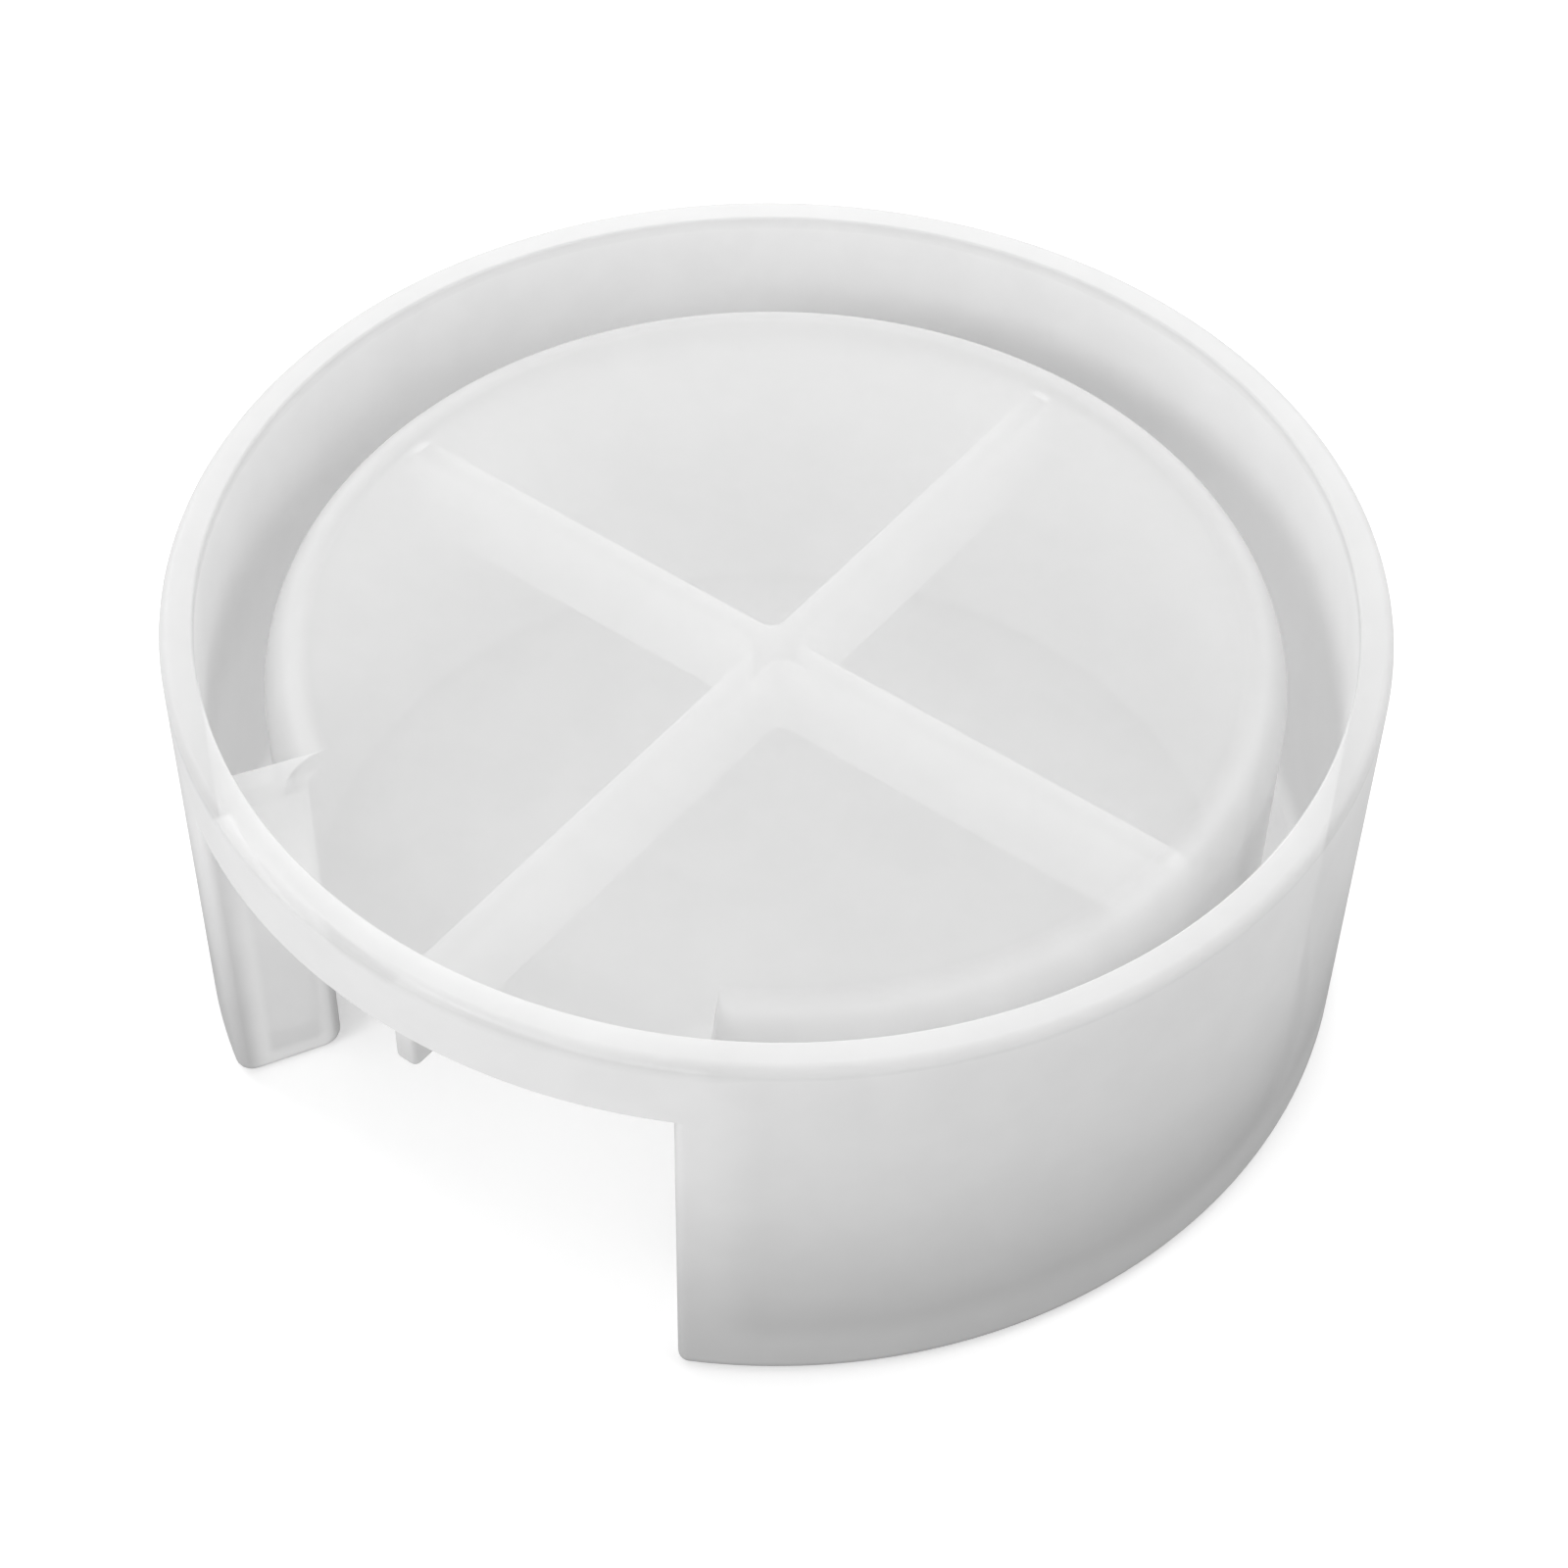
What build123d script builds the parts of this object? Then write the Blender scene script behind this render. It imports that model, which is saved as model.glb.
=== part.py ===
"""Round silicone casting mould for a coaster holder, standing open side up.

Resin poured round the raised core fills the deep channel, which casts the holder's wall, and then
covers the core's flat deck, which casts the holder's base. The channel is missing across one notch,
so the finished holder has an opening for the fingers there.

The silicone is one casting. Each named region of it is a solid of its own here, and neighbouring
regions meet face to face, with no gap and no overlap.

Frame: origin on the table under the middle of the mould, +Z up, the notch facing -Y. Millimetres.
"""

import os
from math import cos, radians, sin

from build123d import *

# Overall
OUTER_RADIUS = 63.5
HEIGHT = 50.5

# Wall and its lip
OUTER_WALL = 3.5
LIP_OUTER_ROUND = 1.1
LIP_INNER_ROUND = 0.3

# Core: a skirt, a rounded shoulder and a flat deck
CORE_RADIUS = 53.8
CORE_WALL = 2.2
SHOULDER_ROUND = 4.8
UNDER_SHOULDER_ROUND = 2.4
DECK_DROP = 6.2
DECK = 2.6
DECK_TO_SHOULDER = 0.5
APRON_COVE = 1.0

# Channel between the core and the wall
FLOOR = 2.6
FOOT_HEIGHT = 5.0
FOOT_ROUND = 2.2
CHANNEL_ROUND = 1.5

# Notch, as angles about the middle of the mould
NOTCH_HEADING = -90
NOTCH_HALF_ANGLE = 28.4
END_WALL_ANGLE = 2.4
END_FACE_ROUND = 1.2

# Cross ribs under the deck
RIB = 2.5
RIB_DEPTH = 11.0
RIB_EDGE_ROUND = 0.6
RIB_TIP_ROUND = 1.2
HUB_REACH = 4.0
HUB_ROUND = 1.8

# Radii, heights and angles that follow from the above
rim_inner = OUTER_RADIUS - OUTER_WALL
skirt_inner = CORE_RADIUS - CORE_WALL
deck_top = HEIGHT - DECK_DROP
deck_under = deck_top - DECK
deck_radius = CORE_RADIUS - SHOULDER_ROUND - DECK_TO_SHOULDER
rib_bottom = deck_under - RIB_DEPTH
channel_half_angle = NOTCH_HALF_ANGLE + END_WALL_ANGLE
channel_start = NOTCH_HEADING + channel_half_angle
channel_end = NOTCH_HEADING - channel_half_angle
channel_span = 360 - 2 * channel_half_angle
notch_end = NOTCH_HEADING + NOTCH_HALF_ANGLE


def section_plane(heading):
    """The upright plane at a heading from +X, in which local x is the radius and local y the height."""
    turn = radians(heading)
    return Plane(origin=(0, 0, 0), x_dir=(cos(turn), sin(turn), 0), z_dir=(sin(turn), -cos(turn), 0))


def corner(sketch, radius, height):
    """The corner of a section that lies nearest to this radius and height."""
    return sketch.vertices().sort_by_distance((radius, height, 0))[0]


# Rim ring: the top of the wall, and the only part of it that runs the full circle.
with BuildPart() as rim_ring:
    with BuildSketch(section_plane(0)) as rim_section:
        with BuildLine():
            Polyline(
                (rim_inner, deck_under),
                (OUTER_RADIUS, deck_under),
                (OUTER_RADIUS, HEIGHT),
                (rim_inner, HEIGHT),
                close=True,
            )
        make_face()
        fillet(corner(rim_section, OUTER_RADIUS, HEIGHT), LIP_OUTER_ROUND)
        fillet(corner(rim_section, rim_inner, HEIGHT), LIP_INNER_ROUND)
    revolve(axis=Axis.Z)
rim_ring.part.label = "rim_ring"


# Outer wall: from the channel's foot up to the rim ring, all round except the notch.
with BuildPart() as outer_wall:
    with BuildSketch(section_plane(channel_start)):
        with BuildLine():
            Polyline(
                (rim_inner, FOOT_HEIGHT),
                (OUTER_RADIUS, FOOT_HEIGHT),
                (OUTER_RADIUS, deck_under),
                (rim_inner, deck_under),
                close=True,
            )
        make_face()
    revolve(axis=Axis.Z, revolution_arc=channel_span)
outer_wall.part.label = "outer_wall"


# Channel floor: the foot that the mould stands on, with the rounded bottom of the channel in it.
with BuildPart() as channel_floor:
    with BuildSketch(section_plane(channel_start)) as floor_section:
        with BuildLine():
            Polyline(
                (skirt_inner, FOOT_HEIGHT),
                (skirt_inner, 0),
                (OUTER_RADIUS, 0),
                (OUTER_RADIUS, FOOT_HEIGHT),
                (rim_inner, FOOT_HEIGHT),
                (rim_inner, FLOOR),
                (CORE_RADIUS, FLOOR),
                (CORE_RADIUS, FOOT_HEIGHT),
                close=True,
            )
        make_face()
        fillet(corner(floor_section, skirt_inner, 0), FOOT_ROUND)
        fillet(corner(floor_section, OUTER_RADIUS, 0), FOOT_ROUND)
        fillet(corner(floor_section, rim_inner, FLOOR), CHANNEL_ROUND)
        fillet(corner(floor_section, CORE_RADIUS, FLOOR), CHANNEL_ROUND)
    revolve(axis=Axis.Z, revolution_arc=channel_span)
channel_floor.part.label = "channel_floor"


# Core wall: the skirt inside the channel, curving over at the top as the core's rounded shoulder.
with BuildPart() as core_wall:
    with BuildSketch(section_plane(channel_start)) as core_section:
        with BuildLine():
            Polyline(
                (skirt_inner, FOOT_HEIGHT),
                (CORE_RADIUS, FOOT_HEIGHT),
                (CORE_RADIUS, deck_top),
                (deck_radius, deck_top),
                (deck_radius, deck_under),
                (skirt_inner, deck_under),
                close=True,
            )
        make_face()
        fillet(corner(core_section, CORE_RADIUS, deck_top), SHOULDER_ROUND)
        fillet(corner(core_section, skirt_inner, deck_under), UNDER_SHOULDER_ROUND)
    revolve(axis=Axis.Z, revolution_arc=channel_span)
core_wall.part.label = "core_wall"


# Core deck: the flat round top of the core.
with BuildPart() as core_deck:
    with BuildSketch(Plane.XY.offset(deck_under)):
        Circle(deck_radius)
    extrude(amount=DECK)
core_deck.part.label = "core_deck"


# Notch apron: carries the deck out to the rim ring across the notch, with a small cove at the ring.
with BuildPart() as notch_apron:
    with BuildSketch(section_plane(channel_end)):
        with BuildLine():
            Polyline(
                (rim_inner - APRON_COVE, deck_top),
                (deck_radius, deck_top),
                (deck_radius, deck_under),
                (rim_inner, deck_under),
                (rim_inner, deck_top + APRON_COVE),
            )
            RadiusArc(
                (rim_inner, deck_top + APRON_COVE),
                (rim_inner - APRON_COVE, deck_top),
                APRON_COVE,
            )
        make_face()
    revolve(axis=Axis.Z, revolution_arc=2 * channel_half_angle)
notch_apron.part.label = "notch_apron"


# End walls: close the channel at each side of the notch, and are seen there as two legs.
def end_wall(start_heading):
    """An end wall with the foot's rounded corners, softened round its face on the notch."""
    with BuildPart() as wall:
        with BuildSketch(section_plane(start_heading)) as end_section:
            with BuildLine():
                Polyline(
                    (skirt_inner, 0),
                    (OUTER_RADIUS, 0),
                    (OUTER_RADIUS, deck_under),
                    (skirt_inner, deck_under),
                    close=True,
                )
            make_face()
            fillet(corner(end_section, skirt_inner, 0), FOOT_ROUND)
            fillet(corner(end_section, OUTER_RADIUS, 0), FOOT_ROUND)
        revolve(axis=Axis.Z, revolution_arc=END_WALL_ANGLE)
        flat_faces = wall.faces().filter_by(GeomType.PLANE).filter_by(Axis.Z, reverse=True)
        notch_face = flat_faces.sort_by_distance((0, -OUTER_RADIUS, deck_under / 2))[0]
        top_edge = notch_face.edges().sort_by(Axis.Z)[-1]
        fillet([edge for edge in notch_face.edges() if edge != top_edge], END_FACE_ROUND)
    return wall


end_wall_left = end_wall(channel_end)
end_wall_left.part.label = "end_wall_left"

end_wall_right = end_wall(notch_end)
end_wall_right.part.label = "end_wall_right"


# The hollow under the core, between the deck and the ribs' lower edges, which bounds three of the ribs.
with BuildPart() as under_core:
    with BuildSketch(section_plane(0)) as hollow_section:
        with BuildLine():
            Polyline(
                (0, rib_bottom),
                (skirt_inner, rib_bottom),
                (skirt_inner, deck_under),
                (0, deck_under),
                close=True,
            )
        make_face()
        fillet(corner(hollow_section, skirt_inner, deck_under), UNDER_SHOULDER_ROUND)
    revolve(axis=Axis.Z)


# Ribs: a cross of webs under the deck. Three end at the skirt and the front one ends at the rim ring.
def rib_web(heading, reach, ends_at_skirt):
    """A web from the hub out to a reach. It's cut to the skirt's curve, or else has a rounded tip."""
    with BuildPart() as web:
        with BuildSketch(section_plane(heading)) as side:
            with BuildLine():
                Polyline(
                    (HUB_REACH, deck_under),
                    (reach, deck_under),
                    (reach, rib_bottom),
                    (HUB_REACH, rib_bottom),
                    close=True,
                )
            make_face()
            if not ends_at_skirt:
                fillet(corner(side, reach, rib_bottom), RIB_TIP_ROUND)
        extrude(amount=RIB / 2, both=True)
        if ends_at_skirt:
            add(under_core.part, mode=Mode.INTERSECT)
        underside = web.faces().sort_by(Axis.Z)[0]
        fillet(underside.edges().sort_by(SortBy.LENGTH)[-2:], RIB_EDGE_ROUND)
    return web


rib_front = rib_web(NOTCH_HEADING, rim_inner, ends_at_skirt=False)
rib_front.part.label = "rib_front"

rib_back = rib_web(NOTCH_HEADING + 180, CORE_RADIUS, ends_at_skirt=True)
rib_back.part.label = "rib_back"

rib_left = rib_web(NOTCH_HEADING - 90, CORE_RADIUS, ends_at_skirt=True)
rib_left.part.label = "rib_left"

rib_right = rib_web(NOTCH_HEADING + 90, CORE_RADIUS, ends_at_skirt=True)
rib_right.part.label = "rib_right"


# Rib hub: where the four webs meet, with the inner corners between them rounded.
with BuildPart() as rib_hub:
    with BuildSketch(Plane.XY.offset(rib_bottom)) as hub_plan:
        Rectangle(2 * HUB_REACH, RIB)
        Rectangle(RIB, 2 * HUB_REACH)
        fillet(hub_plan.vertices().sort_by_distance((0, 0, 0))[:4], HUB_ROUND)
    extrude(amount=RIB_DEPTH)
    underside_edges = rib_hub.faces().sort_by(Axis.Z)[0].edges().sort_by_distance((0, 0, rib_bottom))
    edges_at_webs = underside_edges[-4:]
    fillet([edge for edge in underside_edges if edge not in edges_at_webs], RIB_EDGE_ROUND)
rib_hub.part.label = "rib_hub"


os.makedirs("parts", exist_ok=True)
export_step(rim_ring.part, "parts/rim_ring.step")
export_step(outer_wall.part, "parts/outer_wall.step")
export_step(channel_floor.part, "parts/channel_floor.step")
export_step(end_wall_left.part, "parts/end_wall_left.step")
export_step(end_wall_right.part, "parts/end_wall_right.step")
export_step(core_wall.part, "parts/core_wall.step")
export_step(core_deck.part, "parts/core_deck.step")
export_step(notch_apron.part, "parts/notch_apron.step")
export_step(rib_front.part, "parts/rib_front.step")
export_step(rib_back.part, "parts/rib_back.step")
export_step(rib_left.part, "parts/rib_left.step")
export_step(rib_right.part, "parts/rib_right.step")
export_step(rib_hub.part, "parts/rib_hub.step")
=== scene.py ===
"""Looks for the silicone casting mould: its skin region by region, its milky silicone, light and camera."""

import math

import bpy
from mathutils import Matrix, Vector


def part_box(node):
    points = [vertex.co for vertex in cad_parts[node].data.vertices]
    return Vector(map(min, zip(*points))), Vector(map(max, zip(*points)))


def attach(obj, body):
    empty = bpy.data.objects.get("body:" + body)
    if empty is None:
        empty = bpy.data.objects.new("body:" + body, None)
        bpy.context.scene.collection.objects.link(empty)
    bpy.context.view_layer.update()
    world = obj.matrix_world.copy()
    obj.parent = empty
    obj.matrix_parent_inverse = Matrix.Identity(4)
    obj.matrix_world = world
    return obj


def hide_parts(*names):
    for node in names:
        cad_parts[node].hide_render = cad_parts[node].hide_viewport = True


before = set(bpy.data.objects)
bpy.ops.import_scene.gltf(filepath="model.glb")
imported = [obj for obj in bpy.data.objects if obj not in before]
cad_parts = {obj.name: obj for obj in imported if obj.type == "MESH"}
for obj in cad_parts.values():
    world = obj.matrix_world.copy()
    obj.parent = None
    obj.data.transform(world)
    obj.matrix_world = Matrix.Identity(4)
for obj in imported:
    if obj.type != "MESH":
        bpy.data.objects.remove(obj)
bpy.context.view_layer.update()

MM = 0.001

# Sizes read from the frame, in metres
OUTER_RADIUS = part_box("rim_ring")[1].x
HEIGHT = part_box("rim_ring")[1].z
DECK_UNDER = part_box("rim_ring")[0].z
RIM_INNER = -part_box("rib_front")[0].y
RIB_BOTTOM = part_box("rib_front")[0].z
RIB_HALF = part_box("rib_front")[1].x
HUB_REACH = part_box("rib_hub")[1].x
SKIRT_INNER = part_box("rib_right")[1].x
CORE_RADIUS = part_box("core_wall")[1].x
FOOT_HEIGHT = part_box("channel_floor")[1].z
DECK_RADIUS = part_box("core_deck")[1].x
DECK_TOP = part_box("core_deck")[1].z
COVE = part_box("notch_apron")[1].z - DECK_TOP

# Sizes that no box gives
FLOOR = 2.6 * MM
FOOT_ROUND = 2.2 * MM
CHANNEL_ROUND = 1.5 * MM
LIP_OUTER_ROUND = 1.1 * MM
LIP_INNER_ROUND = 0.3 * MM
SHOULDER_ROUND = 4.8 * MM
UNDER_SHOULDER_ROUND = 2.4 * MM
END_FACE_ROUND = 1.2 * MM
RIB_EDGE_ROUND = 0.6 * MM
RIB_TIP_ROUND = 1.2 * MM
HUB_ROUND = 1.8 * MM

# The ribs stop a hair short of the deck and the skirt, so that no two frosted surfaces coincide
HAIRLINE = 0.02 * MM
RIB_TOP = DECK_UNDER - HAIRLINE

# Headings are in radians from the middle of the notch, which faces -Y, and grow towards +X
NOTCH_HALF_ANGLE = 28.4
END_WALL_ANGLE = 2.4
NOTCH_HALF = math.radians(NOTCH_HALF_ANGLE)
CHANNEL_HALF = math.radians(NOTCH_HALF_ANGLE + END_WALL_ANGLE)
BACK = math.pi

# Steps of the swept surfaces, of rounded corners and of the small rounded edges
STEP = math.radians(1.5)
ARC_STEP = math.radians(9)
EASING = [math.radians(angle) for angle in (0, 15, 30, 45, 60, 75, 90)]

UP = Vector((0, 0, 1))


# ---------------------------------------------------------------- mesh tools


def headings_through(*stops):
    """Headings from the first stop to the last, about STEP apart, that pass through every stop."""
    headings = [stops[0]]
    for start, end in zip(stops, stops[1:]):
        steps = max(1, round((end - start) / STEP))
        headings += [start + (end - start) * k / steps for k in range(1, steps + 1)]
    return headings


def place(radius, height, heading):
    """The point at a radius, height and heading."""
    return Vector((radius * math.sin(heading), -radius * math.cos(heading), height))


def corner_arc(before, corner, after):
    """The points and outward normals along one corner (x, y, round), or one point if it is sharp."""
    here = Vector(corner[:2])
    back = (Vector(before[:2]) - here).normalized()
    forward = (Vector(after[:2]) - here).normalized()
    if not corner[2]:
        return [(here, None)]
    half = back.angle(forward) / 2
    centre = here + (back + forward).normalized() * corner[2] / math.sin(half)
    sign = 1 if forward.x * back.y - forward.y * back.x > 0 else -1
    turning = math.pi - 2 * half
    first = here + back * corner[2] / math.tan(half) - centre
    steps = max(2, round(turning / ARC_STEP))
    points = []
    for k in range(steps + 1):
        angle = sign * turning * k / steps
        spoke = Vector((
            first.x * math.cos(angle) - first.y * math.sin(angle),
            first.x * math.sin(angle) + first.y * math.cos(angle),
        ))
        points.append((centre + spoke, spoke.normalized() * sign))
    return points


def outline(corners):
    """An anticlockwise closed path through corners (x, y, round), as a list of short segments.

    A segment is (start, start normal, end, end normal, side). The side counts the straight sides from
    the first corner on, and is None along a rounded corner.
    """
    segments = []
    count = len(corners)
    arcs = [corner_arc(corners[i - 1], corners[i], corners[(i + 1) % count]) for i in range(count)]
    for i, arc in enumerate(arcs):
        for (start, start_normal), (end, end_normal) in zip(arc, arc[1:]):
            segments.append((start, start_normal, end, end_normal, None))
        start = arc[-1][0]
        end = arcs[(i + 1) % count][0][0]
        along = (end - start).normalized()
        normal = Vector((along.y, -along.x))
        segments.append((start, normal, end, normal, i))
    return segments


class Skin:
    """A closed mesh gathered face by face, with exact normals. A hidden face is one where two regions
    of the same casting join, so there is no real surface there."""

    def __init__(self):
        self.vertices = []
        self.index = {}
        self.faces = []
        self.normals = []
        self.materials = []

    def vertex(self, point):
        key = tuple(round(value * 1e7) for value in point)
        if key not in self.index:
            self.index[key] = len(self.vertices)
            self.vertices.append(point)
        return self.index[key]

    def face(self, corners, hidden=False):
        """Adds a face from (point, normal) corners, leaving out a corner that repeats the last one."""
        kept = []
        for point, normal in corners:
            number = self.vertex(point)
            if all(number != other for other, _ in kept):
                kept.append((number, normal))
        if len(kept) < 3:
            return
        self.faces.append([number for number, _ in kept])
        self.normals += [normal.normalized() for _, normal in kept]
        self.materials.append(1 if hidden else 0)

    def cap(self, points, normal, hidden=False):
        self.face([(point, normal) for point in points], hidden)

    def loft(self, rows, hides):
        """Joins rows of (start, start normal, end, end normal, side) segments, row to row."""
        for j, (row, following) in enumerate(zip(rows, rows[1:])):
            for (a, a_normal, b, b_normal, side), (c, c_normal, d, d_normal, _) in zip(row, following):
                corners = [(a, a_normal), (c, c_normal), (d, d_normal), (b, b_normal)]
                self.face(corners, hides(side, j))

    def finish(self, node, silicone):
        name = node + "_skin"
        mesh = bpy.data.meshes.new(name)
        mesh.from_pydata(self.vertices, [], self.faces)
        mesh.materials.append(silicone)
        mesh.materials.append(JOINED)
        mesh.polygons.foreach_set("material_index", self.materials)
        mesh.polygons.foreach_set("use_smooth", [True] * len(self.faces))
        mesh.normals_split_custom_set(self.normals)
        mesh.update()
        piece = bpy.data.objects.new(name, mesh)
        bpy.context.scene.collection.objects.link(piece)
        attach(piece, "root")
        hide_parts(node)


def stand(segments, turned):
    """A row of segments in space from an outline's segments. turned(point, normal) moves one end."""
    row = []
    for start, start_normal, end, end_normal, side in segments:
        row.append(turned(start, start_normal) + turned(end, end_normal) + (side,))
    return row


def starts(row):
    """The start points of a row's segments."""
    return [segment[0] for segment in row]


def ease(profile, size, turned, angles):
    """Rows across a rounded edge of a plate, which shrinks to profile(inset) at the plate's flat face.

    An angle is 0 where the rounding starts and a quarter turn at the flat face. turned(point, normal,
    depth, lean) places a point at a depth under the flat face, its normal leaning towards that face.
    """
    rows = []
    for angle in angles:
        inset = size * (1 - math.cos(angle))
        depth = size * (1 - math.sin(angle))
        rows.append(stand(outline(profile(inset)), lambda point, normal: turned(point, normal, depth, angle)))
    return rows


def swung_to(heading):
    """A turned(point, normal) for stand, that swings a (radius, height) point round to a heading."""
    def turned(point, normal):
        return place(point.x, point.y, heading), place(normal.x, normal.y, heading)
    return turned


def revolve(node, silicone, corners, headings, hides, end_faces=()):
    """A region swept round the axis. hides(side, heading) tells its joined faces, and each of its end
    faces is a list of (radius, height) points and whether it's a joined one."""
    skin = Skin()
    segments = outline(corners)
    rows = [stand(segments, swung_to(heading)) for heading in headings]
    middles = [(a + b) / 2 for a, b in zip(headings, headings[1:])]
    skin.loft(rows, lambda side, j: hides(side, middles[j]))
    for points, joined_face in end_faces:
        skin.cap([place(x, y, headings[0]) for x, y in points], -along(headings[0]), joined_face)
        skin.cap([place(x, y, headings[-1]) for x, y in reversed(points)], along(headings[-1]), joined_face)
    skin.finish(node, silicone)


def along(heading):
    """The level direction in which headings grow."""
    return Vector((math.cos(heading), math.sin(heading), 0))


def joined_at(*sides):
    """A hides(side, heading) for a region that joins its neighbours at some sides, all the way round."""
    return lambda side, heading: side in sides


def points_of(corners):
    """The points of the outline through some corners."""
    return starts(outline(corners))


def joined_ends(corners):
    """The end faces of a region whose neighbours close it at both ends."""
    return [(points_of(corners), True)]


# ---------------------------------------------------------------- silicone

# The clear share of each region, where it's clearest
DECK_CLARITY = 0.5
SHOULDER_CLARITY = 0.25
RIM_CLARITY = 0.35
RIB_CLARITY = 0.3
WALL_CLARITY = 0.1
LEG_CLARITY = 0.1

# The most of the body that lets through light from behind it, as a glow
GLOW = 0.3

# Painted glow: the emission strength that stands in for the light scattering inside the silicone, below the
# deck and in the ribs; and painted shade: how much the base colour darkens by the foot
PAINTED_GLOW = 0.12
PAINTED_GLOW_IN_RIB = 0.05
FOOT_PAINTED_SHADE = 0.35

# The milky, satin surface. Its whiteness and roughness each vary between two values, as faint clouds.
WHITENESS = (0.885, 0.905)
ROUGHNESS = (0.42, 0.48)
REFRACTION = 1.41
SHEEN = 0.15
SHEEN_ROUGHNESS = 0.16
CLOUD_SIZE = 6 * MM
CLOUD_SPREAD = (0.3, 0.7)
GRAIN_SIZE = 0.5 * MM
GRAIN_DEPTH = 0.05 * MM
GRAIN_STRENGTH = 0.12

# A shading that belongs to one surface fades away between these two depths in from it
ON_SURFACE = 0.1 * MM
OFF_SURFACE = 0.3 * MM

# Bands over which the shading changes: up from the foot, down from the lip, about the edges of the
# channel behind a leg, down from the deck into the shade, and along the wall away from the legs
FOOT_BAND = 5 * MM
LIP_BAND = 2.5 * MM
EDGE_BAND = 1 * MM
WALL_EDGE_BAND = 0.6 * MM
IN_SHADE = 0.6 * DECK_UNDER
LEG_BAND = math.radians(6)


class Graph:
    """Short-hand for a material's node graph, with the radius and height of the shaded point."""

    def __init__(self, name):
        self.material = bpy.data.materials.new(name)
        self.material.use_nodes = True
        self.nodes = self.material.node_tree.nodes
        self.point = self.node("ShaderNodeTexCoord").outputs["Object"]
        split = self.node("ShaderNodeSeparateXYZ")
        self.link(self.point, split.inputs["Vector"])
        _, self.y, self.height = split.outputs
        level = self.node("ShaderNodeVectorMath", operation="MULTIPLY")
        self.link(self.point, level.inputs[0])
        level.inputs[1].default_value = (1, 1, 0)
        length = self.node("ShaderNodeVectorMath", operation="LENGTH")
        self.link(level.outputs["Vector"], length.inputs[0])
        self.radius = length.outputs["Value"]

    def node(self, kind, **settings):
        node = self.nodes.new(kind)
        for key, value in settings.items():
            setattr(node, key, value)
        return node

    def link(self, source, target):
        self.material.node_tree.links.new(source, target)

    def feed(self, value, target):
        """Links a socket, or sets a number."""
        if isinstance(value, (int, float)):
            target.default_value = value
        else:
            self.link(value, target)

    def math(self, operation, first, second=0.0):
        node = self.node("ShaderNodeMath", operation=operation)
        self.feed(first, node.inputs[0])
        self.feed(second, node.inputs[1])
        return node.outputs["Value"]

    def fade(self, value, start, end, low=0.0, high=1.0):
        """Eases from low to high while a value goes from start to end."""
        node = self.node("ShaderNodeMapRange", interpolation_type="SMOOTHSTEP")
        self.feed(value, node.inputs["Value"])
        for name, number in (("From Min", start), ("From Max", end), ("To Min", low), ("To Max", high)):
            node.inputs[name].default_value = number
        return node.outputs["Result"]

    def noise(self, size, detail):
        """Smooth noise with features of a size in metres."""
        node = self.node("ShaderNodeTexNoise")
        self.link(self.point, node.inputs["Vector"])
        node.inputs["Scale"].default_value = 1 / size
        node.inputs["Detail"].default_value = detail
        return node.outputs["Fac"]


def silicone_material(name, clearness, painted_glow):
    """Milky silicone: a satin white body that glows with light from behind, and a share that's clear.

    clearness(graph) gives the clear share of the shaded point. It's less where the silicone is thick behind
    the surface, and the glow is then less too. The last argument gives the strength of a painted glow: an
    emission that stands in for the light that scatters inside the silicone. The base colour also carries
    painted shade towards the foot."""
    graph = Graph(name)
    share = clearness(graph)
    satin = graph.nodes["Principled BSDF"]
    cloud = graph.noise(CLOUD_SIZE, 2)
    # Painted shade: the base colour is darkened towards the foot, outside the wall and under the core.
    shade = graph.math("MULTIPLY", graph.fade(cloud, *CLOUD_SPREAD, *WHITENESS), painted_shade_low_down(graph))
    tint = graph.node("ShaderNodeCombineColor")
    for channel in tint.inputs:
        graph.link(shade, channel)
    graph.link(tint.outputs["Color"], satin.inputs["Base Color"])
    graph.link(graph.fade(cloud, *CLOUD_SPREAD, *ROUGHNESS), satin.inputs["Roughness"])
    satin.inputs["IOR"].default_value = REFRACTION
    satin.inputs["Emission Color"].default_value = (1, 1, 1, 1)
    # Painted glow: an emission that stands in for the light scattering inside the silicone.
    graph.feed(painted_glow(graph), satin.inputs["Emission Strength"])
    satin.inputs["Coat Weight"].default_value = SHEEN
    satin.inputs["Coat Roughness"].default_value = SHEEN_ROUGHNESS
    bump = graph.node("ShaderNodeBump")
    bump.inputs["Strength"].default_value = GRAIN_STRENGTH
    bump.inputs["Distance"].default_value = GRAIN_DEPTH
    graph.link(graph.noise(GRAIN_SIZE, 0), bump.inputs["Height"])
    graph.link(bump.outputs["Normal"], satin.inputs["Normal"])
    glow = graph.node("ShaderNodeBsdfTranslucent")
    graph.link(tint.outputs["Color"], glow.inputs["Color"])
    body = graph.node("ShaderNodeMixShader")
    graph.link(graph.math("MINIMUM", share, GLOW), body.inputs["Fac"])
    graph.link(satin.outputs["BSDF"], body.inputs[1])
    graph.link(glow.outputs["BSDF"], body.inputs[2])
    clear = graph.node("ShaderNodeBsdfTransparent")
    whole = graph.node("ShaderNodeMixShader")
    graph.feed(share, whole.inputs["Fac"])
    graph.link(body.outputs["Shader"], whole.inputs[1])
    graph.link(clear.outputs["BSDF"], whole.inputs[2])
    graph.link(whole.outputs["Shader"], graph.nodes["Material Output"].inputs["Surface"])
    return graph.material


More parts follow.
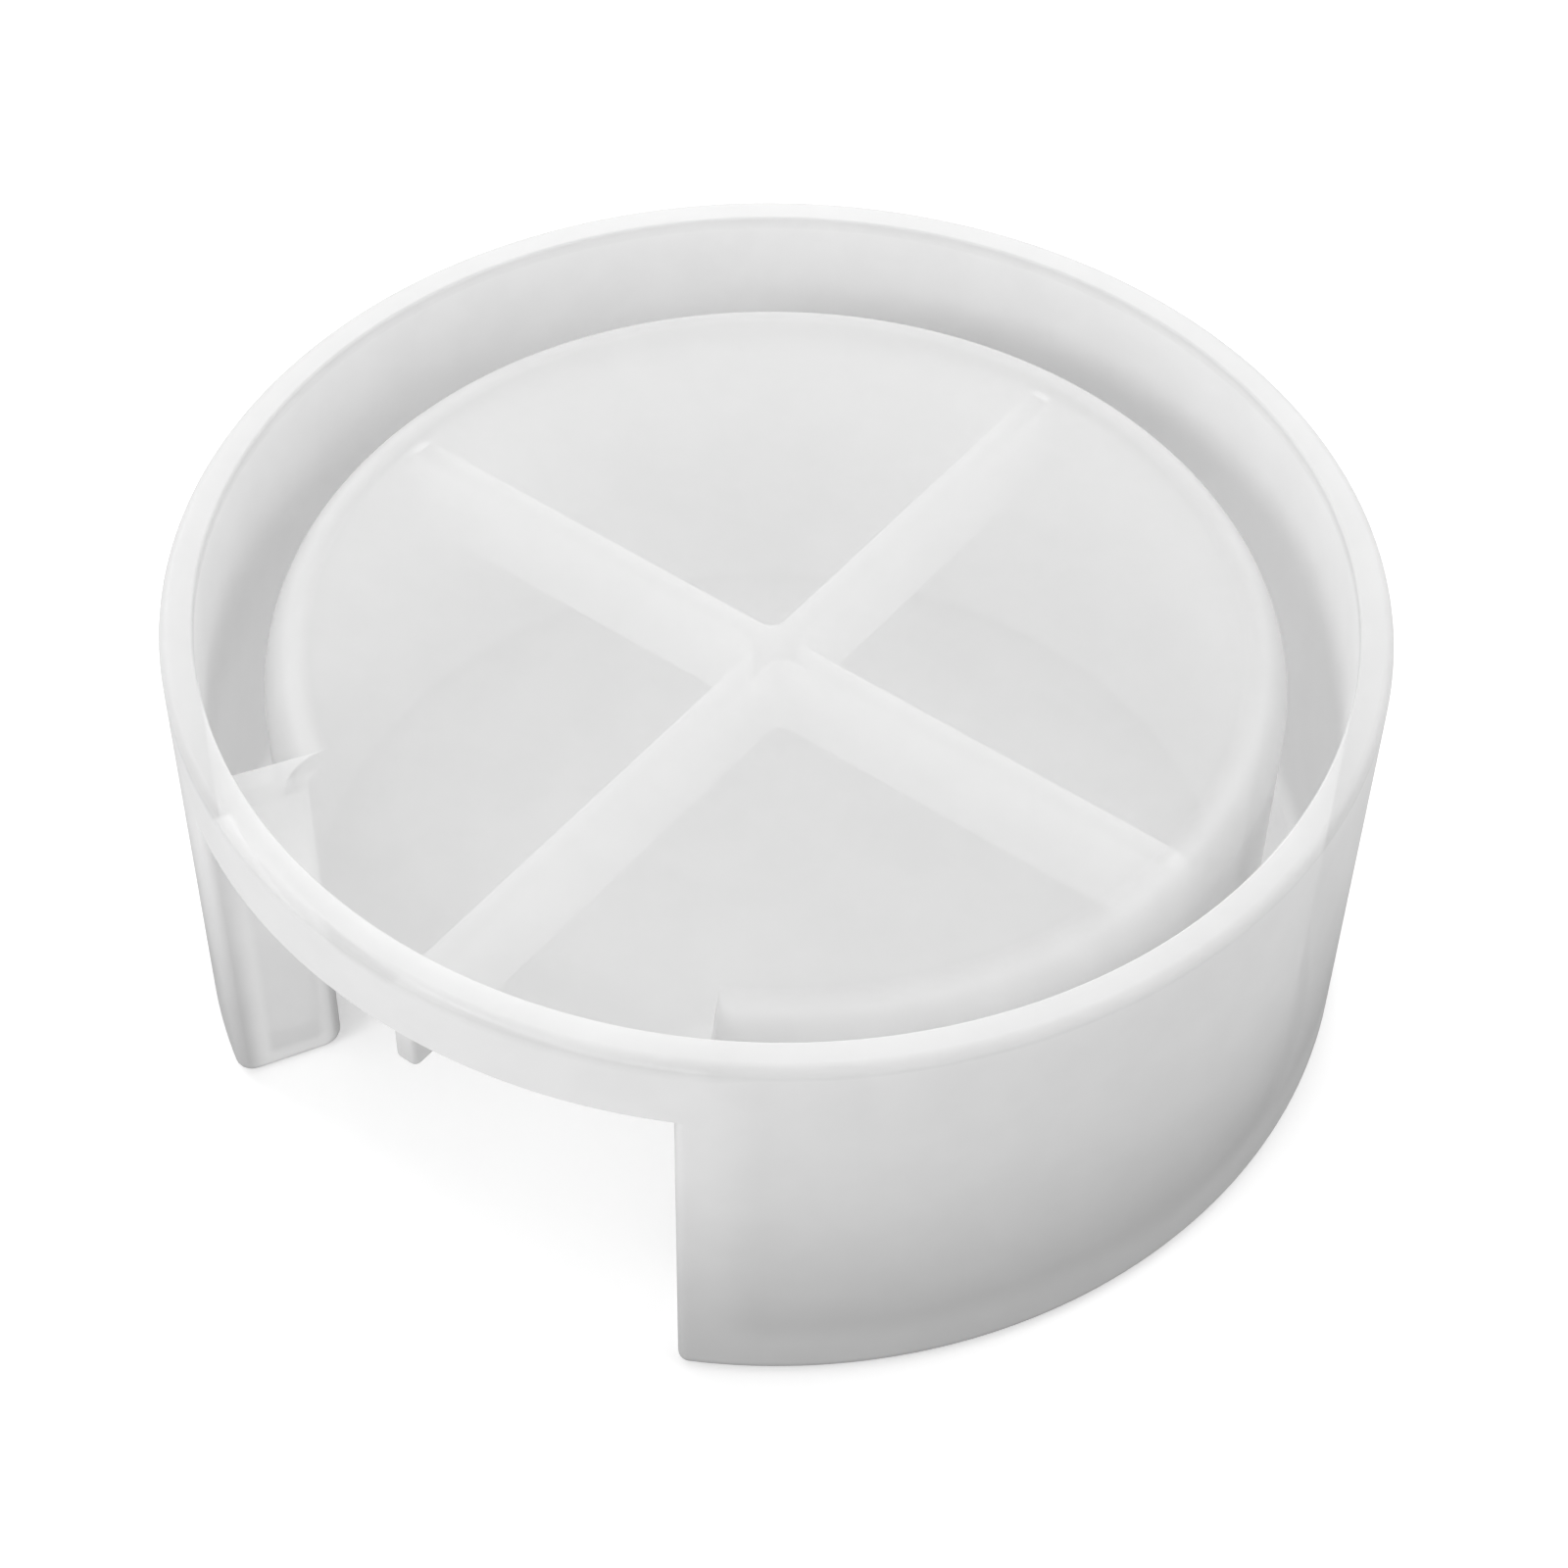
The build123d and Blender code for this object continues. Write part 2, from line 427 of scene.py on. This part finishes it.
def painted_shade_low_down(graph):
    """Painted shade: the base colour is darkened towards the foot, on the outside of the wall and under the
    core.
    """
    outside = graph.fade(graph.radius, RIM_INNER, OUTER_RADIUS, 0, FOOT_PAINTED_SHADE)
    inside = graph.fade(graph.radius, CORE_RADIUS, SKIRT_INNER + OFF_SURFACE, 0, FOOT_PAINTED_SHADE)
    low = graph.fade(graph.height, DECK_UNDER, 0)
    return graph.math("SUBTRACT", 1, graph.math("MULTIPLY", low, graph.math("ADD", outside, inside)))


def painted_glow_below_deck(graph):
    """Painted glow: an emission that grows from nothing at the deck's underside to its full strength some way
    below the deck, where the silicone is shaded.
    """
    return graph.fade(graph.height, DECK_UNDER, IN_SHADE, 0, PAINTED_GLOW)


def painted_glow_in_channel(graph):
    """Painted glow in the channel: an emission between the core and the wall, below the deck, so that the
    channel never goes dark.
    """
    past_core = graph.fade(graph.radius, CORE_RADIUS - OFF_SURFACE, CORE_RADIUS - ON_SURFACE)
    inside_wall = graph.fade(graph.radius, RIM_INNER + OFF_SURFACE, RIM_INNER + ON_SURFACE)
    return graph.math("MULTIPLY", graph.math("MULTIPLY", past_core, inside_wall), painted_glow_below_deck(graph))


def painted_glow_in_leg(graph):
    """A leg is thin; its painted glow, an emission, stands in for the light behind it, and is left off the
    side it shares with the wall.
    """
    return graph.math("MULTIPLY", graph.fade(graph.radius, OUTER_RADIUS, RIM_INNER), painted_glow_below_deck(graph))


def past_legs(graph):
    """0 across the notch and its legs, and 1 along the rest of the wall."""
    facing = graph.math("DIVIDE", graph.y, graph.radius)
    return graph.fade(facing, -math.cos(CHANNEL_HALF), -math.cos(CHANNEL_HALF + LEG_BAND))


def clear_above_foot(graph):
    """The wall is clear above the thick foot it stands on, and white beside the legs."""
    above = graph.fade(graph.height, FOOT_HEIGHT, FOOT_HEIGHT + FOOT_BAND, 0, WALL_CLARITY)
    return graph.math("MULTIPLY", above, past_legs(graph))


def clear_beside_shoulder(graph):
    """The core is whitest at its foot, and its shoulder is a thick corner, whiter than the deck."""
    above = graph.fade(graph.height, FOOT_HEIGHT, DECK_TOP - SHOULDER_ROUND)
    thinner = graph.fade(graph.radius, SKIRT_INNER, DECK_RADIUS, SHOULDER_CLARITY, DECK_CLARITY)
    return graph.math("MULTIPLY", above, thinner)


def clear_on_lip(graph):
    """The rim is clearest along its lip, and white across the notch, where the apron backs it."""
    lip = graph.fade(graph.height, HEIGHT - LIP_BAND, HEIGHT, 0, RIM_CLARITY)
    sides = graph.math("MULTIPLY", past_legs(graph), WALL_CLARITY)
    return graph.math("MAXIMUM", lip, sides)


def clear_over_channel(graph):
    """A leg is clearest over the channel that it closes, and white where the walls and foot back it."""
    inner = graph.fade(graph.radius, CORE_RADIUS - EDGE_BAND, CORE_RADIUS + EDGE_BAND)
    outer = graph.fade(graph.radius, RIM_INNER + WALL_EDGE_BAND, RIM_INNER - EDGE_BAND)
    above = graph.fade(graph.height, FLOOR - EDGE_BAND, FLOOR + EDGE_BAND)
    opening = graph.math("MULTIPLY", graph.math("MULTIPLY", inner, outer), above)
    return graph.fade(opening, 0, 1, 0, LEG_CLARITY)


def clear_below_rib(graph):
    """A rib is whitest where it joins the deck, and lets more light by towards its lower edge."""
    return graph.fade(graph.height, RIB_TOP, RIB_BOTTOM, 0, RIB_CLARITY)


def joined_material():
    """Where two regions of the casting join, the silicone simply carries on."""
    material = bpy.data.materials.new("joined_face")
    material.use_nodes = True
    nodes = material.node_tree.nodes
    nodes.remove(nodes["Principled BSDF"])
    clear = nodes.new("ShaderNodeBsdfTransparent")
    material.node_tree.links.new(clear.outputs["BSDF"], nodes["Material Output"].inputs["Surface"])
    return material


# Each material's last argument is its painted glow, an emission.
SHEET = silicone_material("sheet_silicone", lambda graph: DECK_CLARITY, painted_glow_in_channel)
WALL = silicone_material("wall_silicone", clear_above_foot, painted_glow_in_channel)
CORE = silicone_material("core_silicone", clear_beside_shoulder, painted_glow_in_channel)
RIM = silicone_material("rim_silicone", clear_on_lip, painted_glow_in_channel)
LEG = silicone_material("leg_silicone", clear_over_channel, painted_glow_in_leg)
RIB = silicone_material("rib_silicone", clear_below_rib, lambda graph: PAINTED_GLOW_IN_RIB)
JOINED = joined_material()


# ---------------------------------------------------------------- regions of the casting


def shoulder(start, end):
    """Points (radius, height) along the core's shoulder, between two angles up from its skirt."""
    steps = max(2, round((end - start) / ARC_STEP))
    points = []
    for k in range(steps + 1):
        angle = start + (end - start) * k / steps
        radius = CORE_RADIUS - SHOULDER_ROUND * (1 - math.cos(angle))
        points.append(Vector((radius, DECK_TOP - SHOULDER_ROUND * (1 - math.sin(angle)))))
    return points


SHOULDER_CUT = math.asin(1 - (DECK_TOP - DECK_UNDER) / SHOULDER_ROUND)
shoulder_low = shoulder(0, SHOULDER_CUT)
shoulder_high = shoulder(SHOULDER_CUT, math.pi / 2)
channel_arc = headings_through(CHANNEL_HALF, 2 * BACK - CHANNEL_HALF)
full_circle = headings_through(-CHANNEL_HALF, -NOTCH_HALF, NOTCH_HALF, CHANNEL_HALF, 2 * BACK - CHANNEL_HALF)


def rim_ring():
    """The top of the wall, all the way round."""
    corners = [
        (RIM_INNER, DECK_UNDER, 0),
        (OUTER_RADIUS, DECK_UNDER, 0),
        (OUTER_RADIUS, HEIGHT, LIP_OUTER_ROUND),
        (RIM_INNER, HEIGHT, LIP_INNER_ROUND),
        (RIM_INNER, DECK_TOP + COVE, 0),
    ]
    under, at_apron = 0, 4

    def hides(side, heading):
        if side == under:
            return not -NOTCH_HALF < heading < NOTCH_HALF
        return side == at_apron and heading < CHANNEL_HALF

    revolve("rim_ring", RIM, corners, full_circle, hides)


def outer_wall():
    """The wall from its foot up to the rim, all round except the notch."""
    corners = [
        (RIM_INNER, FOOT_HEIGHT, 0),
        (OUTER_RADIUS, FOOT_HEIGHT, 0),
        (OUTER_RADIUS, DECK_UNDER, 0),
        (RIM_INNER, DECK_UNDER, 0),
    ]
    under, over = 0, 2
    revolve("outer_wall", WALL, corners, channel_arc, joined_at(under, over), joined_ends(corners))


def channel_floor():
    """The foot, with the rounded bottom of the channel in it."""
    corners = [
        (SKIRT_INNER, 0, FOOT_ROUND),
        (OUTER_RADIUS, 0, FOOT_ROUND),
        (OUTER_RADIUS, FOOT_HEIGHT, 0),
        (RIM_INNER, FOOT_HEIGHT, 0),
        (RIM_INNER, FLOOR, CHANNEL_ROUND),
        (CORE_RADIUS, FLOOR, CHANNEL_ROUND),
        (CORE_RADIUS, FOOT_HEIGHT, 0),
        (SKIRT_INNER, FOOT_HEIGHT, 0),
    ]
    at_wall, at_core = 2, 6
    revolve("channel_floor", WALL, corners, channel_arc, joined_at(at_wall, at_core), joined_ends(corners))


def core_wall():
    """The skirt inside the channel, which curves over as the shoulder."""
    corners = [
        (SKIRT_INNER, FOOT_HEIGHT, 0),
        (CORE_RADIUS, FOOT_HEIGHT, 0),
        (CORE_RADIUS, DECK_TOP, SHOULDER_ROUND),
        (DECK_RADIUS, DECK_TOP, 0),
        (DECK_RADIUS, DECK_UNDER, 0),
        (SKIRT_INNER, DECK_UNDER, UNDER_SHOULDER_ROUND),
    ]
    at_foot, at_deck = 0, 3
    revolve("core_wall", CORE, corners, channel_arc, joined_at(at_foot, at_deck), joined_ends(corners))


def core_deck():
    """The flat top of the core, in rings that keep its faces small."""
    rings = 12
    radii = [DECK_RADIUS * k / rings for k in range(rings + 1)]
    corners = [(radius, DECK_UNDER, 0) for radius in radii]
    corners += [(radius, DECK_TOP, 0) for radius in reversed(radii)]
    revolve("core_deck", SHEET, corners, full_circle, joined_at(rings))


def notch_apron():
    """The deck extended out to the rim across the notch, with a small cove at the rim."""
    corners = [
        (DECK_RADIUS, DECK_UNDER, 0),
        (SKIRT_INNER, DECK_UNDER, 0),
        (shoulder_high[0].x, DECK_UNDER, 0),
        (RIM_INNER, DECK_UNDER, 0),
        (RIM_INNER, DECK_TOP + COVE, 0),
        (RIM_INNER, DECK_TOP, COVE),
        (shoulder_high[-1].x, DECK_TOP, 0),
        (DECK_RADIUS, DECK_TOP, 0),
    ]
    points = points_of(corners)
    at_core = points[:3] + shoulder_high[1:] + points[-1:]
    in_channel = points[2:-1] + shoulder_high[-2:0:-1]

    headings = headings_through(-CHANNEL_HALF, -NOTCH_HALF, NOTCH_HALF, CHANNEL_HALF)
    end_faces = [(at_core, True), (in_channel, False)]
    at_rim, at_deck = 3, 7
    revolve("notch_apron", SHEET, corners, headings, joined_at(at_rim, at_deck), end_faces)


def end_wall(node, hand):
    """The leg that closes the channel at the notch's left (hand -1) or right (hand 1)."""

    def profile(inset):
        return [
            (SKIRT_INNER + inset, inset, FOOT_ROUND - inset),
            (OUTER_RADIUS - inset, inset, FOOT_ROUND - inset),
            (OUTER_RADIUS - inset, DECK_UNDER, 0),
            (RIM_INNER, DECK_UNDER, 0),
            (shoulder_high[0].x, DECK_UNDER, 0),
            (SKIRT_INNER + inset, DECK_UNDER, 0),
        ]

    def turned(point, normal, depth, lean):
        heading = hand * (NOTCH_HALF + depth / point.x)
        outward = place(normal.x, normal.y, heading)
        leaning = outward * math.cos(lean) - along(heading) * hand * math.sin(lean)
        return place(point.x, point.y, heading), leaning

    inner = hand * CHANNEL_HALF
    rows = ease(profile, END_FACE_ROUND, turned, EASING)
    rows.insert(0, stand(outline(profile(0)), swung_to(inner)))
    rows = rows[::-hand]
    at_rim, at_apron, at_core = 2, 3, 4
    skin = Skin()
    skin.loft(rows, lambda side, j: side in (at_rim, at_apron, at_core))

    opening = points_of([
        (CORE_RADIUS, FLOOR, CHANNEL_ROUND),
        (RIM_INNER, FLOOR, CHANNEL_ROUND),
        (RIM_INNER, DECK_UNDER, 0),
    ] + [(point.x, point.y, 0) for point in reversed(shoulder_low)])
    top = len(opening) - len(shoulder_low) - 1
    edge = points_of(profile(0))
    border = edge[-1:] + edge[:-2] + opening[:top][::-1] + opening[top + 1:][::-1]
    for points, joined_face in ((opening, False), (border, True)):
        skin.cap([place(x, y, inner) for x, y in points[::-hand]], along(inner) * hand, joined_face)
    face = hand * NOTCH_HALF
    flat = points_of(profile(END_FACE_ROUND))
    skin.cap([place(x, y, face) for x, y in flat[::hand]], -along(face) * hand)
    skin.finish(node, LEG)


def rib(node, heading, reach, at_skirt):
    """A web of the cross, from the hub out to the skirt or, at the front, to a free rounded tip."""
    outward = place(1, 0, heading)
    across = -along(heading)

    def profile(inset):
        foot = RIB_BOTTOM + inset
        if at_skirt:
            tip = [(reach, foot, 0), (reach, RIB_TOP, UNDER_SHOULDER_ROUND)]
        else:
            tip = [(reach - inset, foot, RIB_TIP_ROUND - inset), (reach - inset, RIB_TOP, 0)]
        return [(HUB_REACH, RIB_TOP, 0), (HUB_REACH, foot, 0)] + tip

    def turned_on(face):
        def turned(point, normal, depth, lean):
            place_along = outward * point.x + across * face * (RIB_HALF - depth)
            leaning = outward * normal.x * math.cos(lean) + across * face * math.sin(lean)
            return place_along + UP * point.y, leaning + UP * normal.y * math.cos(lean)
        return turned

    rows = ease(profile, RIB_EDGE_ROUND, turned_on(1), EASING[::-1])
    rows += ease(profile, RIB_EDGE_ROUND, turned_on(-1), EASING)
    skin = Skin()
    skin.loft(rows, lambda side, j: side in (0, len(profile(0)) - 1))
    skin.cap(starts(rows[0]), across)
    skin.cap(starts(reversed(rows[-1])), -across)
    skin.finish(node, RIB)


def rib_hub():
    """The middle of the cross, with the inner corners between the webs rounded."""

    def profile(inset):
        half = RIB_HALF - inset
        corners = []
        for x, y in ((1, 0), (0, 1), (-1, 0), (0, -1)):
            corners.append((HUB_REACH * x + half * y, HUB_REACH * y - half * x, 0))
            corners.append((HUB_REACH * x - half * y, HUB_REACH * y + half * x, 0))
            corners.append((half * (x - y), half * (x + y), HUB_ROUND + inset))
        return corners

    def turned(point, normal, depth, lean):
        level = Vector((normal.x, normal.y, 0))
        return Vector((point.x, point.y, RIB_BOTTOM + depth)), level * math.cos(lean) - UP * math.sin(lean)

    def at_top(point, normal):
        return Vector((point.x, point.y, RIB_TOP)), Vector((normal.x, normal.y, 0))

    rows = ease(profile, RIB_EDGE_ROUND, turned, EASING)
    rows.insert(0, stand(outline(profile(0)), at_top))
    skin = Skin()
    skin.loft(rows, lambda side, j: side is not None and side % 3 == 0)
    skin.cap(starts(rows[0]), UP, hidden=True)
    skin.cap(starts(reversed(rows[-1])), -UP)
    skin.finish("rib_hub", RIB)


rim_ring()
outer_wall()
channel_floor()
core_wall()
core_deck()
notch_apron()
end_wall("end_wall_left", -1)
end_wall("end_wall_right", 1)
rib("rib_front", 0, RIM_INNER, at_skirt=False)
rib("rib_right", BACK / 2, SKIRT_INNER - HAIRLINE, at_skirt=True)
rib("rib_back", BACK, SKIRT_INNER - HAIRLINE, at_skirt=True)
rib("rib_left", -BACK / 2, SKIRT_INNER - HAIRLINE, at_skirt=True)
rib_hub()


# ---------------------------------------------------------------- stage

# The light from all round, and the floor: its half size in metres, its shade, the light of its own
# that it has, and its shade as seen through the silicone
ROUND_LIGHT = 0.68
FLOOR_HALF = 4
FLOOR_SHADE = 0.85
FLOOR_LIFT = 0.3
VEILED_FLOOR_SHADE = 0.4

# Round soft boxes, in metres, aimed at one point. Each has a heading from the notch and an elevation,
# in degrees, and a power in watts.
SOFT_BOX_SIZE = 0.45
SOFT_BOX_DISTANCE = 0.8
AIM = Vector((0, 0, 30 * MM))
SOFT_BOXES = {
    "left": (-95, 42, 1.7),
    "back_left": (-144, 36, 1.6),
    "front": (-10, 28, 2.0),
    "right": (105, 35, 0.9),
    "back_right": (150, 38, 1.1),
    "top": (0, 88, 0.3),
}

# The camera's place about the middle of the rim and its turn away from it, in metres and degrees
CAMERA_DISTANCE = 5.5134 * OUTER_RADIUS
CAMERA_HEADING = 36.5
CAMERA_ELEVATION = 44.295
CAMERA_PAN = 0.166
CAMERA_TILT = 3.415
CAMERA_ROLL = 0.991
SENSOR_WIDTH = 36
FOCAL_LENGTH = 77.65


def stage_floor():
    corners = [(x * FLOOR_HALF, y * FLOOR_HALF, 0) for x, y in ((-1, -1), (1, -1), (1, 1), (-1, 1))]
    mesh = bpy.data.meshes.new("floor")
    mesh.from_pydata(corners, [], [(0, 1, 2, 3)])
    floor = bpy.data.objects.new("floor", mesh)
    bpy.context.scene.collection.objects.link(floor)
    floor.data.materials.append(floor_material())


def grey(shade):
    """An opaque grey."""
    return (shade, shade, shade, 1)


def floor_material():
    """White where the camera sees the floor directly. Seen through the silicone it's the dimmer grey
    that the floor also gives back as light, so that the mould's hollows stay readable."""
    material = bpy.data.materials.new("pale_floor")
    material.use_nodes = True
    nodes = material.node_tree.nodes
    links = material.node_tree.links
    dim = nodes["Principled BSDF"]
    dim.inputs["Base Color"].default_value = grey(VEILED_FLOOR_SHADE)
    dim.inputs["Roughness"].default_value = 0.8
    matt = nodes.new("ShaderNodeBsdfDiffuse")
    matt.inputs["Color"].default_value = grey(FLOOR_SHADE)
    lit = nodes.new("ShaderNodeEmission")
    lit.inputs["Strength"].default_value = FLOOR_LIFT
    bright = nodes.new("ShaderNodeAddShader")
    links.new(matt.outputs["BSDF"], bright.inputs[0])
    links.new(lit.outputs["Emission"], bright.inputs[1])
    path = nodes.new("ShaderNodeLightPath")
    unveiled = nodes.new("ShaderNodeMath")
    unveiled.operation = "LESS_THAN"
    unveiled.inputs[1].default_value = 0.5
    links.new(path.outputs["Transparent Depth"], unveiled.inputs[0])
    direct = nodes.new("ShaderNodeMath")
    direct.operation = "MULTIPLY"
    links.new(unveiled.outputs["Value"], direct.inputs[0])
    links.new(path.outputs["Is Camera Ray"], direct.inputs[1])
    whole = nodes.new("ShaderNodeMixShader")
    links.new(direct.outputs["Value"], whole.inputs["Fac"])
    links.new(dim.outputs["BSDF"], whole.inputs[1])
    links.new(bright.outputs["Shader"], whole.inputs[2])
    links.new(whole.outputs["Shader"], nodes["Material Output"].inputs["Surface"])
    return material


def soft_box(name, heading, elevation, power):
    """A round soft box at a heading and an elevation, aimed at the mould."""
    level = SOFT_BOX_DISTANCE * math.cos(math.radians(elevation))
    height = SOFT_BOX_DISTANCE * math.sin(math.radians(elevation))
    data = bpy.data.lights.new(name, "AREA")
    data.energy = power
    data.shape = "DISK"
    data.size = SOFT_BOX_SIZE
    light = bpy.data.objects.new(name, data)
    light.location = place(level, height, math.radians(heading))
    light.rotation_euler = (AIM - light.location).to_track_quat("-Z", "Y").to_euler()
    bpy.context.scene.collection.objects.link(light)


def stage_light():
    """Soft light from all round and the soft boxes. The backdrop is as pale as the floor far away."""
    world = bpy.data.worlds.new("studio")
    world.use_nodes = True
    nodes = world.node_tree.nodes
    backdrop = nodes["Background"]
    backdrop.inputs["Color"].default_value = grey(1)
    path = nodes.new("ShaderNodeLightPath")
    strength = nodes.new("ShaderNodeMapRange")
    strength.inputs["To Min"].default_value = ROUND_LIGHT
    strength.inputs["To Max"].default_value = FLOOR_SHADE * ROUND_LIGHT + FLOOR_LIFT
    world.node_tree.links.new(path.outputs["Is Camera Ray"], strength.inputs["Value"])
    world.node_tree.links.new(strength.outputs["Result"], backdrop.inputs["Strength"])
    bpy.context.scene.world = world
    for name, (heading, elevation, power) in SOFT_BOXES.items():
        soft_box(name, heading, elevation, power)


def stage_camera():
    """The camera stands between the notch and the mould's right and looks down at the rim."""
    data = bpy.data.cameras.new("camera")
    data.sensor_width = SENSOR_WIDTH
    data.lens = FOCAL_LENGTH
    camera = bpy.data.objects.new("camera", data)
    bpy.context.scene.collection.objects.link(camera)
    steps = (
        Matrix.Translation((0, 0, HEIGHT)),
        Matrix.Rotation(math.radians(CAMERA_HEADING), 4, "Z"),
        Matrix.Rotation(math.radians(90 - CAMERA_ELEVATION), 4, "X"),
        Matrix.Translation((0, 0, CAMERA_DISTANCE)),
        Matrix.Rotation(math.radians(-CAMERA_PAN), 4, "Y"),
        Matrix.Rotation(math.radians(-CAMERA_TILT), 4, "X"),
        Matrix.Rotation(math.radians(CAMERA_ROLL), 4, "Z"),
    )
    placed = Matrix.Identity(4)
    for step in steps:
        placed = placed @ step
    camera.matrix_world = placed
    bpy.context.scene.camera = camera


stage_floor()
stage_light()
stage_camera()
bpy.context.scene.view_settings.view_transform = "Standard"
bpy.context.scene.cycles.max_bounces = 16
bpy.context.scene.cycles.diffuse_bounces = 6
bpy.context.scene.cycles.transmission_bounces = 8
bpy.context.scene.cycles.transparent_max_bounces = 32
